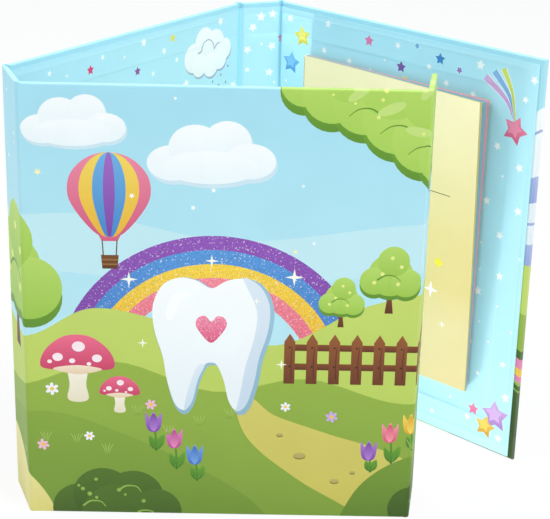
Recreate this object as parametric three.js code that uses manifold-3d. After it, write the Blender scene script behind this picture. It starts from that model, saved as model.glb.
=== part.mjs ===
// Tooth keepsake booklet: a hardcover case of six hinged panels that stands open on its lower edges.
// One panel carries a notepad, and the back cover carries a tray with a sliding lid for milk teeth.
// Millimetres, +Z up. The origin is the middle of the back cover's lower edge, +X runs along the back
// cover towards the fore edge, and the inside of the booklet lies towards -Y.
import * as THREE from "three";
import { mergeVertices } from "three/addons/utils/BufferGeometryUtils.js";
import Module from "manifold-3d";

const wasm = await Module();
wasm.setup();

// Case: boards wrapped in printed paper, with a liner glued over the turned-in edges
const COVER_HEIGHT = 175;
const BACK_WIDTH = 147;
const BOARD = 1.6;
const PAPER = 0.25;
const LINER = 0.2;
const GLUE = 0.08;
const TURN_IN = 14.5;
const LINER_INSET = 2.3;

// Clearances that let the closed panels lie inside one another
const FOLD_CLEARANCE = 0.2;
const FLAP_CLEARANCE = 0.66;
const PANEL_CLEARANCE = 1.16;
const SPINE_CLEARANCE = 1.66;
const FLAP_TIP_CLEARANCE = 0.3;
const CLOSING_CLEARANCE = 2.4;

// Paper hinges between the panels
const HINGE_PAPER = 0.5;
const HINGE_GAP = 0.12;
const HINGE_STRAIGHT = 0.25;
const HINGE_END_GAP = 0.4;
const HINGE_ARC_STEPS = 6;

// Fold of each hinge as the booklet stands open, in degrees from flat
const FLAP_FOLD = 81.5;
const FRONT_FOLD = 70.84;
const SPINE_FOLD = 54.76;
const FORE_EDGE_FOLD = 34.56;
const PAD_PANEL_FOLD = 63.94;

// Magnets let into the flap and the fore edge
const MAGNET_DIAMETER = 9;
const MAGNET_SIDES = 24;
const MAGNET_CLEARANCE = 0.15;
const MAGNET_SPACING = 96;

// Notepad, glued by its backing card to the pad panel
const PAD_HINGE_MARGIN = 20;
const PAD_EDGE_MARGIN = 25.3;
const PAD_BOTTOM_MARGIN = 24.4;
const PAD_TOP_MARGIN = 20.4;
const PAD_CARD = 0.5;
const SECTION = 0.82;
const TOP_LEAF = 0.2;
const LEAF_GAP = 0.1;
const BINDING = 0.4;
const PIVOT_CLEARANCE = 0.5;

// Tooth tray on the back cover, with crossed dividers and a sliding lid
const CELL_COLUMNS = 5;
const CELL_ROWS = 4;
const CELL_WIDTH = 19;
const CELL_HEIGHT = 18;
const CELL_DEPTH = 6.6;
const TRAY_BOTTOM_MARGIN = 10;
const TRAY_FLOOR = 0.8;
const TRAY_RAIL = 2.4;
const TRAY_WALL = 1.6;
const TRAY_LIP = 0.8;
const TRAY_GAP = 0.15;
const DIVIDER = 0.8;
const DIVIDER_CLEARANCE = 0.12;
const LID = 0.8;
const LID_CLEARANCE = 0.2;
const LID_ENGAGEMENT = 1.2;
const GRIP_HEIGHT = 3;
const GRIP_WIDTH = 26;
const GRIP_PROUD = 0.6;
const GRIP_DROP = 5;

// A cutter reaches this far past the faces that it opens
const CUT_OVER = 1;

// Sizes that follow from the ones above
const WRAPPED = BOARD + 2 * (PAPER + GLUE);
const PANEL = WRAPPED + GLUE + LINER;
const HINGE_SETBACK = PANEL + FOLD_CLEARANCE;
const SECTION_COLOURS = { green: 0xa9d69b, pink: 0xf2b6cf, blue: 0x9ccbe8, yellow: 0xf6ea9e };
const SECTION_NAMES = Object.keys(SECTION_COLOURS);
const PAD = GLUE + PAD_CARD + SECTION_NAMES.length * (LEAF_GAP + SECTION) + LEAF_GAP + TOP_LEAF;
const LID_SLOT = LID + 2 * LID_CLEARANCE;
const TRAY = GLUE + TRAY_FLOOR + CELL_DEPTH + LID_SLOT + TRAY_LIP;
const FORE_EDGE_WIDTH = 2 * PANEL + TRAY + PAD + CLOSING_CLEARANCE;
const SPINE_WIDTH = FORE_EDGE_WIDTH + PANEL + SPINE_CLEARANCE;
const FRONT_WIDTH = BACK_WIDTH + PANEL + FLAP_CLEARANCE;
const PAD_PANEL_WIDTH = BACK_WIDTH - PANEL - PANEL_CLEARANCE;
const FLAP_WIDTH = SPINE_WIDTH - FLAP_TIP_CLEARANCE;

const CASE_PAPER = { color: 0x8fc4d8, roughness: 0.55, metalness: 0 };
const LINER_PAPER = { color: 0x6fd0e6, roughness: 0.6, metalness: 0 };
const GREYBOARD = { color: 0x9a958b, roughness: 0.9, metalness: 0 };
const STEEL = { color: 0xb9bcc0, roughness: 0.3, metalness: 1 };
const CARD = { color: 0xe9e4d6, roughness: 0.85, metalness: 0 };
const GUM = { color: 0xf3f0e6, roughness: 0.5, metalness: 0 };
const WHITE_PLASTIC = { color: 0xf4f4f0, roughness: 0.4, metalness: 0 };
const CLEAR_PLASTIC = { color: 0xe6f2f6, roughness: 0.1, metalness: 0, transparent: true, opacity: 0.35 };

// A named mesh with a material of its own
function piece(name, geometry, look) {
  const mesh = new THREE.Mesh(geometry, new THREE.MeshStandardMaterial(look));
  mesh.name = name;
  return mesh;
}

// A box between two corners
function block([x0, y0, z0], [x1, y1, z1]) {
  const box = new THREE.BoxGeometry(x1 - x0, y1 - y0, z1 - z0);
  return box.translate((x0 + x1) / 2, (y0 + y1) / 2, (z0 + z1) / 2);
}

// A closed geometry as a solid that can be joined and cut
function solidOf(geometry) {
  const bare = geometry.clone();
  bare.deleteAttribute("normal");
  bare.deleteAttribute("uv");
  const merged = mergeVertices(bare);
  const vertProperties = new Float32Array(merged.attributes.position.array);
  const triVerts = new Uint32Array(merged.index.array);
  return new wasm.Manifold(new wasm.Mesh({ numProp: 3, vertProperties, triVerts }));
}

// A solid's surface as a geometry
function geometryOf(solid) {
  const { vertProperties, triVerts } = solid.getMesh();
  const geometry = new THREE.BufferGeometry();
  geometry.setAttribute("position", new THREE.BufferAttribute(vertProperties, 3));
  geometry.setIndex(new THREE.BufferAttribute(triVerts, 1));
  geometry.computeVertexNormals();
  return geometry;
}

function cut(geometry, cutters) {
  const body = cutters.reduce((left, cutter) => left.subtract(solidOf(cutter)), solidOf(geometry));
  return geometryOf(body);
}

function join(geometry, added) {
  return geometryOf(solidOf(geometry).add(solidOf(added)));
}

// A panel runs along its own X with its outer face at y = 0 and its inside towards -y.
// Each end is a fold, which leaves room for the hinge, or a free edge, which the paper wraps.
function panelEnds({ start, end, startFolds, endFolds }) {
  const x0 = start + (startFolds ? HINGE_SETBACK : 0);
  const x1 = end - (endFolds ? HINGE_SETBACK : 0);
  const inset = (depth, past) => [x0 + (startFolds ? -past : depth), x1 - (endFolds ? -past : depth)];
  return { x0, x1, inset };
}

// The printed paper: outer sheet, top and bottom edges, and the border turned in over the board
function casePaper(panel) {
  const { x0, x1, inset } = panelEnds(panel);
  const [room0, room1] = inset(PAPER, CUT_OVER);
  const [window0, window1] = inset(TURN_IN, CUT_OVER);
  const whole = block([x0, -WRAPPED, 0], [x1, 0, COVER_HEIGHT]);
  const room = block([room0, PAPER - WRAPPED, PAPER], [room1, -PAPER, COVER_HEIGHT - PAPER]);
  const window = block(
    [window0, -WRAPPED - CUT_OVER, TURN_IN],
    [window1, -WRAPPED / 2, COVER_HEIGHT - TURN_IN],
  );
  return cut(whole, [room, window]);
}

// The greyboard inside the paper
function greyboard(panel) {
  const skin = PAPER + GLUE;
  const [x0, x1] = panelEnds(panel).inset(skin, 0);
  return block([x0, skin - WRAPPED, skin], [x1, -skin, COVER_HEIGHT - skin]);
}

// The liner sheet glued over the turned-in border
function linerSheet(panel) {
  const [x0, x1] = panelEnds(panel).inset(LINER_INSET, 0);
  return block([x0, -PANEL, LINER_INSET], [x1, -WRAPPED - GLUE, COVER_HEIGHT - LINER_INSET]);
}

// Magnets are discs as thick as the board, let into holes through it at two heights
function disc(diameter, thickness, x, z) {
  const round = new THREE.CylinderGeometry(diameter / 2, diameter / 2, thickness, MAGNET_SIDES);
  return round.translate(x, -WRAPPED / 2, z);
}

function magnet(x, z) {
  return disc(MAGNET_DIAMETER, BOARD, x, z);
}

function magnetHole(x, z) {
  return disc(MAGNET_DIAMETER + 2 * MAGNET_CLEARANCE, BOARD + 2 * CUT_OVER, x, z);
}

function magnetHeights() {
  return [(COVER_HEIGHT - MAGNET_SPACING) / 2, (COVER_HEIGHT + MAGNET_SPACING) / 2];
}

// One wrapped panel of the case, with magnets across its width where it closes
function buildPanel(name, panel, magnetX = null) {
  const group = new THREE.Group();
  const heights = magnetX === null ? [] : magnetHeights();
  const board = greyboard(panel);
  const bored = heights.length ? cut(board, heights.map((z) => magnetHole(magnetX, z))) : board;
  group.add(piece(name + "_board", bored, GREYBOARD));
  group.add(piece(name + "_paper", casePaper(panel), CASE_PAPER));
  group.add(piece(name + "_liner", linerSheet(panel), LINER_PAPER));
  heights.forEach((z, i) => {
    const place = i ? "upper" : "lower";
    group.add(piece(name + "_" + place + "_magnet", magnet(magnetX, z), STEEL));
  });
  return group;
}

// A paper hinge round a fold at x: the panel before it runs along -X, the one after it turns inwards
function buildHinge(name, x, foldDegrees) {
  const fold = THREE.MathUtils.degToRad(foldDegrees);
  const leg = HINGE_SETBACK - HINGE_GAP;
  const tangent = leg - HINGE_STRAIGHT;
  const radius = tangent / Math.tan(fold / 2);
  const along = (s, depth) => [
    s * Math.cos(fold) - depth * Math.sin(fold),
    -s * Math.sin(fold) - depth * Math.cos(fold),
  ];
  const arc = (r) =>
    Array.from({ length: HINGE_ARC_STEPS + 1 }, (_, i) => {
      const turn = (fold * i) / HINGE_ARC_STEPS;
      return [-tangent + r * Math.sin(turn), -radius + r * Math.cos(turn)];
    });
  const outside = [[-leg, 0], ...arc(radius), along(leg, 0)];
  const inside = [[-leg, -HINGE_PAPER], ...arc(radius - HINGE_PAPER), along(leg, HINGE_PAPER)];
  const outline = [...inside, ...outside.reverse()].map(([px, py]) => new THREE.Vector2(x + px, py));
  const height = COVER_HEIGHT - 2 * HINGE_END_GAP;
  const strip = new THREE.ExtrudeGeometry(new THREE.Shape(outline), { depth: height, bevelEnabled: false });
  return piece(name, strip.translate(0, 0, HINGE_END_GAP), CASE_PAPER);
}

// The notepad: card, coloured sections of leaves, a top leaf that turns, and the gum along the hinge side
function buildNotepad() {
  const pad = new THREE.Group();
  const x0 = PAD_HINGE_MARGIN;
  const x1 = PAD_PANEL_WIDTH - PAD_EDGE_MARGIN;
  const z0 = PAD_BOTTOM_MARGIN;
  const z1 = COVER_HEIGHT - PAD_TOP_MARGIN;
  const leafStart = x0 + BINDING + PIVOT_CLEARANCE;
  const cardFace = -PANEL - GLUE - PAD_CARD;
  pad.add(piece("pad_card", block([x0, cardFace, z0], [x1, -PANEL - GLUE, z1]), CARD));
  SECTION_NAMES.forEach((name, i) => {
    const back = cardFace - LEAF_GAP - i * (SECTION + LEAF_GAP);
    const look = { color: SECTION_COLOURS[name], roughness: 0.8, metalness: 0 };
    const leaves = block([leafStart, back - SECTION, z0], [x1, back, z1]);
    pad.add(piece(name + "_leaves", leaves, look));
  });
  const padFace = -PANEL - PAD;
  const leafLook = { color: SECTION_COLOURS.yellow, roughness: 0.8, metalness: 0 };
  const topLeaf = block([leafStart, padFace, z0], [x1, padFace + TOP_LEAF, z1]);
  pad.add(piece("top_leaf", topLeaf, leafLook));
  const gumFace = padFace + TOP_LEAF + 2 * LEAF_GAP;
  const gum = block([x0, gumFace, z0], [x0 + BINDING, cardFace - LEAF_GAP, z1]);
  pad.add(piece("pad_binding", gum, GUM));
  return pad;
}

// The tray stands on the back cover's liner. Its own frame has y = 0 at the liner and the mouth at -TRAY.
function buildTray() {
  const tray = new THREE.Group();
  const innerWidth = CELL_COLUMNS * CELL_WIDTH + (CELL_COLUMNS - 1) * DIVIDER;
  const innerHeight = CELL_ROWS * CELL_HEIGHT + (CELL_ROWS - 1) * DIVIDER;
  const left = -innerWidth / 2;
  const right = innerWidth / 2;
  const bottom = TRAY_BOTTOM_MARGIN + TRAY_WALL;
  const top = bottom + innerHeight;
  const floorFace = -GLUE - TRAY_FLOOR;
  const foot = floorFace - TRAY_GAP;
  const cellFace = floorFace - CELL_DEPTH;
  const lidBack = cellFace - LID_CLEARANCE;
  const lidFace = lidBack - LID;
  const outerLeft = left - TRAY_RAIL;
  const outerRight = right + TRAY_RAIL;

  const floor = block([outerLeft, floorFace, TRAY_BOTTOM_MARGIN], [outerRight, -GLUE, top + TRAY_WALL]);
  tray.add(piece("tray_floor", floor, WHITE_PLASTIC));

  // Side rails, each with a groove for the lid
  const slotDepth = LID_ENGAGEMENT + LID_CLEARANCE;
  const rail = (name, x0, x1, slot0, slot1) => {
    const bar = block([x0, -TRAY, TRAY_BOTTOM_MARGIN], [x1, foot, top + TRAY_WALL]);
    const groove = block(
      [slot0, cellFace - LID_SLOT, bottom],
      [slot1, cellFace, top + TRAY_WALL + CUT_OVER],
    );
    tray.add(piece(name, cut(bar, [groove]), WHITE_PLASTIC));
  };
  rail("tray_left_rail", outerLeft, left, left - slotDepth, left + CUT_OVER);
  rail("tray_right_rail", right, outerRight, right - CUT_OVER, right + slotDepth);

  // The lower wall stops the lid, and the lid slides out over the upper one
  const wall = (name, face, z0, z1) => {
    const bar = block([left + TRAY_GAP, face, z0], [right - TRAY_GAP, foot, z1]);
    tray.add(piece(name, bar, WHITE_PLASTIC));
  };
  wall("tray_bottom_wall", -TRAY, TRAY_BOTTOM_MARGIN, bottom);
  wall("tray_top_wall", cellFace, top, top + TRAY_WALL);

  // Dividers cross at half depth: rows are slotted from the mouth, columns from the floor
  const cross = (cellFace + foot) / 2;
  const slotHalf = DIVIDER / 2 + DIVIDER_CLEARANCE;
  const columnX = (i) => left + i * (CELL_WIDTH + DIVIDER) - DIVIDER / 2;
  const rowZ = (i) => bottom + i * (CELL_HEIGHT + DIVIDER) - DIVIDER / 2;
  const inner = (count) => Array.from({ length: count - 1 }, (_, i) => i + 1);
  for (const row of inner(CELL_ROWS)) {
    const z0 = rowZ(row) - DIVIDER / 2;
    const z1 = rowZ(row) + DIVIDER / 2;
    const strip = block([left + TRAY_GAP, cellFace, z0], [right - TRAY_GAP, foot, z1]);
    const slots = inner(CELL_COLUMNS).map((column) =>
      block(
        [columnX(column) - slotHalf, cellFace - CUT_OVER, z0 - CUT_OVER],
        [columnX(column) + slotHalf, cross + DIVIDER_CLEARANCE / 2, z1 + CUT_OVER],
      ),
    );
    tray.add(piece("tray_row_divider_" + row, slots.length ? cut(strip, slots) : strip, WHITE_PLASTIC));
  }
  for (const column of inner(CELL_COLUMNS)) {
    const x0 = columnX(column) - DIVIDER / 2;
    const x1 = columnX(column) + DIVIDER / 2;
    const strip = block([x0, cellFace, bottom + TRAY_GAP], [x1, foot, top - TRAY_GAP]);
    const slots = inner(CELL_ROWS).map((row) =>
      block(
        [x0 - CUT_OVER, cross - DIVIDER_CLEARANCE / 2, rowZ(row) - slotHalf],
        [x1 + CUT_OVER, foot + CUT_OVER, rowZ(row) + slotHalf],
      ),
    );
    const slotted = slots.length ? cut(strip, slots) : strip;
    tray.add(piece("tray_column_divider_" + column, slotted, WHITE_PLASTIC));
  }

  // The clear lid, with a raised bar to push it by
  const sheet = block(
    [left - LID_ENGAGEMENT, lidFace, bottom + LID_CLEARANCE],
    [right + LID_ENGAGEMENT, lidBack, top + TRAY_WALL],
  );
  const gripTop = top - GRIP_DROP;
  const grip = block(
    [-GRIP_WIDTH / 2, lidFace - GRIP_PROUD, gripTop - GRIP_HEIGHT],
    [GRIP_WIDTH / 2, lidBack - LID / 2, gripTop],
  );
  tray.add(piece("tray_lid", join(sheet, grip), CLEAR_PLASTIC));
  return tray;
}

const turn = (degrees) => THREE.MathUtils.degToRad(degrees);

// The back cover is the fixed panel, and the others hang on it in two chains
const booklet = new THREE.Group();
const back = buildPanel("back_cover", {
  start: -BACK_WIDTH / 2,
  end: BACK_WIDTH / 2,
  startFolds: true,
  endFolds: true,
});
back.position.y = WRAPPED / 2;
booklet.add(back);

const tray = buildTray();
tray.position.y = -PANEL;
back.add(tray);

// Spine, front cover and flap, each placed at the fold at its end
const spine = buildPanel("spine", { start: -SPINE_WIDTH, end: 0, startFolds: true, endFolds: true });
spine.add(buildHinge("spine_hinge", 0, SPINE_FOLD));
spine.position.x = -BACK_WIDTH / 2;
spine.rotation.z = turn(SPINE_FOLD);
back.add(spine);

const front = buildPanel("front_cover", { start: -FRONT_WIDTH, end: 0, startFolds: true, endFolds: true });
front.add(buildHinge("front_hinge", 0, FRONT_FOLD));
front.position.x = -SPINE_WIDTH;
front.rotation.z = turn(FRONT_FOLD);
spine.add(front);

// The magnets meet at half the width of the fore edge when the booklet is shut
const flapMagnetX = FORE_EDGE_WIDTH / 2 - SPINE_WIDTH;
const flapPanel = { start: -FLAP_WIDTH, end: 0, startFolds: false, endFolds: true };
const flap = buildPanel("flap", flapPanel, flapMagnetX);
flap.add(buildHinge("flap_hinge", 0, FLAP_FOLD));
flap.position.x = -FRONT_WIDTH;
flap.rotation.z = turn(FLAP_FOLD);
front.add(flap);

// Fore edge and pad panel, each placed at the fold at its start
back.add(buildHinge("fore_edge_hinge", BACK_WIDTH / 2, FORE_EDGE_FOLD));
const foreEdgePanel = { start: 0, end: FORE_EDGE_WIDTH, startFolds: true, endFolds: true };
const foreEdge = buildPanel("fore_edge", foreEdgePanel, FORE_EDGE_WIDTH / 2);
foreEdge.position.x = BACK_WIDTH / 2;
foreEdge.rotation.z = -turn(FORE_EDGE_FOLD);
back.add(foreEdge);

foreEdge.add(buildHinge("pad_panel_hinge", FORE_EDGE_WIDTH, PAD_PANEL_FOLD));
const padPanel = buildPanel("pad_panel", {
  start: 0,
  end: PAD_PANEL_WIDTH,
  startFolds: true,
  endFolds: false,
});
padPanel.add(buildNotepad());
padPanel.position.x = FORE_EDGE_WIDTH;
padPanel.rotation.z = -turn(PAD_PANEL_FOLD);
foreEdge.add(padPanel);

export default booklet;
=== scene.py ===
# Looks of a tooth keepsake booklet: printed case, lined insides, notepad and tooth tray
import math
import random
from collections import namedtuple

import bmesh
import bpy
from mathutils import Matrix, Vector
from mathutils.geometry import delaunay_2d_cdt


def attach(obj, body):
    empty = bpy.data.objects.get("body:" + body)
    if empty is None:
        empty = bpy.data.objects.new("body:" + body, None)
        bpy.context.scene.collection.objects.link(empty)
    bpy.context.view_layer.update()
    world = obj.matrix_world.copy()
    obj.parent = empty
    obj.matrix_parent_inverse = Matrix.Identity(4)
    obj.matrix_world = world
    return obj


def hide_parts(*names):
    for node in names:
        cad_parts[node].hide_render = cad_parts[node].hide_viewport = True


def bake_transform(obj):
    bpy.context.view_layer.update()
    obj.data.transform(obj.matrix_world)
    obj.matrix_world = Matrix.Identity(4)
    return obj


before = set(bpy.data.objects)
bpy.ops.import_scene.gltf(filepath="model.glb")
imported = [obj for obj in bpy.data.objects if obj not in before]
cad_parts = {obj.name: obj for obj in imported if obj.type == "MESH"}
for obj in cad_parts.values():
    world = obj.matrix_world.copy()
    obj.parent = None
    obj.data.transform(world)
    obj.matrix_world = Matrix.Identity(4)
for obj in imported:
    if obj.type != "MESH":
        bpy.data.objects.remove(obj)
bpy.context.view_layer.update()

# Sizes of the case in millimetres and its folds in degrees, as it stands half open
MM = 0.001
COVER_HEIGHT = 175.0
BACK_WIDTH = 147.0
SPINE_WIDTH = 25.72
FRONT_WIDTH = 150.2
FLAP_WIDTH = 25.42
FORE_EDGE_WIDTH = 21.52
PAD_PANEL_WIDTH = 143.3
FOLDS = {"flap": 81.5, "front_cover": 70.84, "spine": 54.76, "fore_edge": 34.56, "pad_panel": 63.94}

# Thicknesses that a panel is glued up from
BOARD = 1.6
PAPER = 0.25
LINER = 0.2
GLUE = 0.08
WRAPPED = BOARD + 2 * (PAPER + GLUE)
PANEL = WRAPPED + GLUE + LINER

# How the cover paper goes over an edge, and where the liner stops short of it
EDGE_ROUND = 0.7
EDGE_STEPS = 4
# Paler ink on the faces where the paper turns over an edge is a painted highlight
EDGE_HIGHLIGHT = 0.06
FLAT_FACE = 0.97
TURN_IN = 14.5
LINER_INSET = 2.3
LINER_FOOT = 0.8
BLEED = 1.0

# How deep the liner lies, by the distance from the panel's edge: below zero where it rises
RIDGES = [(4.3, 0.0), (4.8, -0.09), (5.4, 0.0), (13.2, 0.0), (13.9, -0.05), (14.7, 0.1)]

# Hinges between the panels, where paper and liner meet without a board
HINGE_PLAY = 0.2
SETBACK = PANEL + HINGE_PLAY
HINGE_PAPER = 0.15
HINGE_BEND = 1.15
HINGE_HEAD = 0.35
HINGE_THIN = 0.36
HINGE_FLAT = 0.42
HINGE_SLOPE = 0.5
HINGE_COLUMNS = 20
GROOVE_DEPTH = 1.75
GROOVE_FIT = 0.94
GROOVE_COLUMNS = 24
# The deeper crease ink is painted shade along the liner's folds
CREASE_SHADE_INK = "#7fdff0"
CREASE_SHADE_SHARE = 0.75
CREASE_SHADE_REACH = 2.3

# Notepad sizes in the pad panel's own frame
PAD_LEFT = 20.0
LEAF_LEFT = 20.9
PAD_RIGHT = 118.0
PAD_BOTTOM = 24.4
PAD_TOP = 154.6
CARD_FACE = 3.12
CARD_SHORT = 1.8
CARD_BEVEL = 0.08
GUM_BEVEL = 0.06
TRAY_BEVEL = 0.12
SECTION = 0.82
SECTION_LEAVES = 7
LEAF_GAP = 0.1
LEAF_THICK = 0.07
LEAF_SEAT = 0.85
LEAF_STRAY = (-0.35, 0.12)
LEAF_COLUMNS = 16
LEAF_ROWS = 20
GREEN_SHORT = 1.0
PAGE_THICK = 0.09
PAGE_PLAY = 0.14
PAGE_COLUMNS = 18
PAGE_ROWS = 22

# How the leaves fan open towards the pad's upper free corner, and lie pressed at its foot
HEAD_SPREAD = 0.02
TOP_LIFT = 4.4
LIFTS = {"green": (0.1, 0.4), "pink": (0.6, 1.9), "blue": (2.2, 3.6), "yellow": (3.85, 4.25)}
LIFT_ACROSS = 1.6
LIFT_UP = 1.3
PRESSED = 0.5
PRESSED_ACROSS = 0.7

# Corners sharper than this keep their edge, and how near counts as the same place
SHARP = 40
SHARP_FOLD = 60
SAME_PLACE = 1e-3
CUT_SNAP = 1e-4
MERGED = 1e-6

Panel = namedtuple("Panel", "place x0 x1 free strip")
Hinge = namedtuple("Hinge", "panel fold_x fold after")
Print = namedtuple("Print", "outline low high glitter")


def shift(x, y=0.0):
    return Matrix.Translation((x, y, 0.0))


def turned(degrees):
    return Matrix.Rotation(math.radians(degrees), 4, "Z")


def clamp(value):
    return min(max(value, 0.0), 1.0)


# Each panel stands in the frame of the fold that carries it, with its outer face at y = 0
BACK_PLACE = shift(0.0, WRAPPED / 2)
SPINE_PLACE = BACK_PLACE @ shift(-BACK_WIDTH / 2) @ turned(FOLDS["spine"])
FRONT_PLACE = SPINE_PLACE @ shift(-SPINE_WIDTH) @ turned(FOLDS["front_cover"])
FLAP_PLACE = FRONT_PLACE @ shift(-FRONT_WIDTH) @ turned(FOLDS["flap"])
FORE_PLACE = BACK_PLACE @ shift(BACK_WIDTH / 2) @ turned(-FOLDS["fore_edge"])
PAD_PLACE = FORE_PLACE @ shift(FORE_EDGE_WIDTH) @ turned(-FOLDS["pad_panel"])

# The print runs round the whole case: strip is where each panel's own x = 0 falls along it
BACK_STRIP = -SPINE_WIDTH - BACK_WIDTH / 2
FORE_STRIP = -SPINE_WIDTH - BACK_WIDTH
PAD_STRIP = FORE_STRIP - FORE_EDGE_WIDTH
PANELS = {
    "flap": Panel(FLAP_PLACE, -FLAP_WIDTH, -SETBACK, "start", FRONT_WIDTH),
    "front_cover": Panel(FRONT_PLACE, SETBACK - FRONT_WIDTH, -SETBACK, "", 0.0),
    "spine": Panel(SPINE_PLACE, SETBACK - SPINE_WIDTH, -SETBACK, "", -SPINE_WIDTH),
    "back_cover": Panel(BACK_PLACE, SETBACK - BACK_WIDTH / 2, BACK_WIDTH / 2 - SETBACK, "", BACK_STRIP),
    "fore_edge": Panel(FORE_PLACE, SETBACK, FORE_EDGE_WIDTH - SETBACK, "", FORE_STRIP),
    "pad_panel": Panel(PAD_PLACE, SETBACK, PAD_PANEL_WIDTH, "end", PAD_STRIP),
}

# Each hinge: the panel whose frame it is drawn in, where that panel folds, the fold, and the panel after it
HINGES = {
    "flap_hinge": Hinge("flap", 0.0, FOLDS["flap"], "front_cover"),
    "front_hinge": Hinge("front_cover", 0.0, FOLDS["front_cover"], "spine"),
    "spine_hinge": Hinge("spine", 0.0, FOLDS["spine"], "back_cover"),
    "fore_edge_hinge": Hinge("back_cover", BACK_WIDTH / 2, FOLDS["fore_edge"], "fore_edge"),
    "pad_panel_hinge": Hinge("fore_edge", FORE_EDGE_WIDTH, FOLDS["pad_panel"], "pad_panel"),
}


# Outlines of printed shapes, as lists of points in millimetres


def box(u0, v0, u1, v1):
    return [(u0, v0), (u1, v0), (u1, v1), (u0, v1)]


def ring(u, v, wide, tall=None, tilt=0.0, count=30):
    tall = wide if tall is None else tall
    c, s = math.cos(tilt), math.sin(tilt)
    points = []
    for i in range(count):
        a = 2 * math.pi * i / count
        x, y = wide * math.cos(a), tall * math.sin(a)
        points.append((u + x * c - y * s, v + x * s + y * c))
    return points


def spiked(u, v, reach, tips=5, waist=0.45, tilt=0.0):
    points = []
    for i in range(2 * tips):
        r = reach if i % 2 == 0 else reach * waist
        a = math.pi / 2 + tilt + math.pi * i / tips
        points.append((u + r * math.cos(a), v + r * math.sin(a)))
    return points


def through(a, b, c, d, t):
    """A point between b and c on the smooth curve through four points."""
    return tuple(
        0.5 * (2 * q + (r - p) * t + (2 * p - 5 * q + 4 * r - s) * t * t + (3 * q - p - 3 * r + s) * t**3)
        for p, q, r, s in zip(a, b, c, d)
    )


def rounded(points, steps=6):
    """The smooth closed curve through the points."""
    around = [points[-1], *points, *points[:2]]
    return [through(*around[i : i + 4], k / steps) for i in range(len(points)) for k in range(steps)]


def smooth_line(points, steps=6):
    """The smooth open curve through the points."""
    along = [points[0], *points, points[-1]]
    line = [through(*along[i : i + 4], k / steps) for i in range(len(points) - 1) for k in range(steps)]
    return [*line, points[-1]]


def ribbon(points, start, end, steps=6):
    """The outline of a stroke along a curve, from one width to another."""
    line = smooth_line(points, steps)
    left, right = [], []
    for i, (u, v) in enumerate(line):
        u0, v0 = line[max(i - 1, 0)]
        u1, v1 = line[min(i + 1, len(line) - 1)]
        size = math.hypot(u1 - u0, v1 - v0) or 1.0
        half = (start + (end - start) * i / (len(line) - 1)) / 2
        nu, nv = -(v1 - v0) / size * half, (u1 - u0) / size * half
        left.append((u + nu, v + nv))
        right.append((u - nu, v - nv))
    return left + right[::-1]


def moved(points, u, v, size=1.0):
    return [(u + size * x, v + size * y) for x, y in points]


def mirrored(half):
    """A shape from its right half, whose points on the middle line aren't doubled."""
    return half + [(-x, y) for x, y in reversed(half) if x]


def half_hoop(inner, outer, steps=48):
    """Half a flat hoop that stands on its two ends."""
    rim = [(math.cos(math.pi * i / steps), math.sin(math.pi * i / steps)) for i in range(steps + 1)]
    return moved(rim, 0, 0, outer) + moved(rim[::-1], 0, 0, inner)


# Printed shapes


def ink(code):
    """A colour written as on a paint card, in the linear values that a mesh keeps."""
    parts = [int(code[i : i + 2], 16) / 255 for i in (1, 3, 5)]
    return tuple(c / 12.92 if c <= 0.04045 else ((c + 0.055) / 1.055) ** 2.4 for c in parts)


def blend_ink(a, b, share):
    return tuple(x + (y - x) * share for x, y in zip(a, b))


def paint(outline, low, high=None, glitter=False):
    """A shape in one ink, or in two that run into each other from its lower to its upper end."""
    return Print(outline, ink(low), ink(high or low), glitter)


def discs(spots, low, high=None, count=30):
    """Round shapes, each with its place and one or two radii."""
    return [paint(ring(*spot, count=count), low, high) for spot in spots]


def stamped(motif, *places):
    """Copies of a motif, each at its own u and v and in its own size."""
    return [shape._replace(outline=moved(shape.outline, *place)) for place in places for shape in motif]


# Inks that come back in several motifs, for the lower and the upper end of a shape
WHITE = "#ffffff"
BARK = ("#5e2c12", "#84471f")
ROPE = "#6b4a2c"
LEAF_SHADE = "#5d8f26"
BUSH_DOT = "#8fb24a"
ROSE = ("#d9506a", "#f59aac")
PLUM = ("#b8428c", "#e58ac0")
GOLD = ("#e0a31c", "#f7d85e")
BLUE = ("#3a6cc0", "#77a6e6")
VIOLET = ("#7a3fa6", "#b27fd2")
SILK_PINK = ("#d4567c", "#f08aa4")
SILK_AMBER = ("#e9b32f", "#f7d85e")
SILK_BLUE = ("#3f83c8", "#6db0e4")
SILK_VIOLET = ("#7a3fa6", "#a068c4")
SILK_WHITE = ("#f2f4f8", WHITE)
RAINBOW = [("#6a2f95", "#8c4cb4"), ("#2b66b4", "#4f93d6"), ("#e0a31c", "#f4cf3c"), ("#d9506a", "#f18596")]


# Motifs of the case print, each about its own origin
PALING_GAP = 8.5
BOUGH_RIM = 4.0


def cloud(white="#fbfdfe", shade="#cfe6f1"):
    puffs = [(-13, 0, 9, 6.5), (-5, 5.5, 9.5, 8.5), (6, 7.5, 8.5, 8), (14, 1, 9, 6.5), (0, -1.5, 17, 6)]
    return stamped(discs(puffs, shade), (0.6, -1.5)) + discs(puffs, "#eef7fb", white)


def bush(low, high, seed):
    """A dark bush with pale dots and strokes."""
    rng = random.Random(seed)
    shapes = discs([(-14, 0, 11), (-5, 6, 12), (7, 5, 12), (16, -1, 10), (1, -4, 15)], low, high)
    for _ in range(9):
        dot = (rng.uniform(-15, 16), rng.uniform(-5, 13), rng.uniform(0.5, 1.0))
        shapes += discs([dot], BUSH_DOT, count=14)
    arch = ribbon([(-5, 0), (-2, 2.2), (2, 2.0), (4, -0.4)], 0.9, 0.3)
    return shapes + stamped([paint(arch, BUSH_DOT)], (-8, 1), (6, 8), (12, -3))


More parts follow.
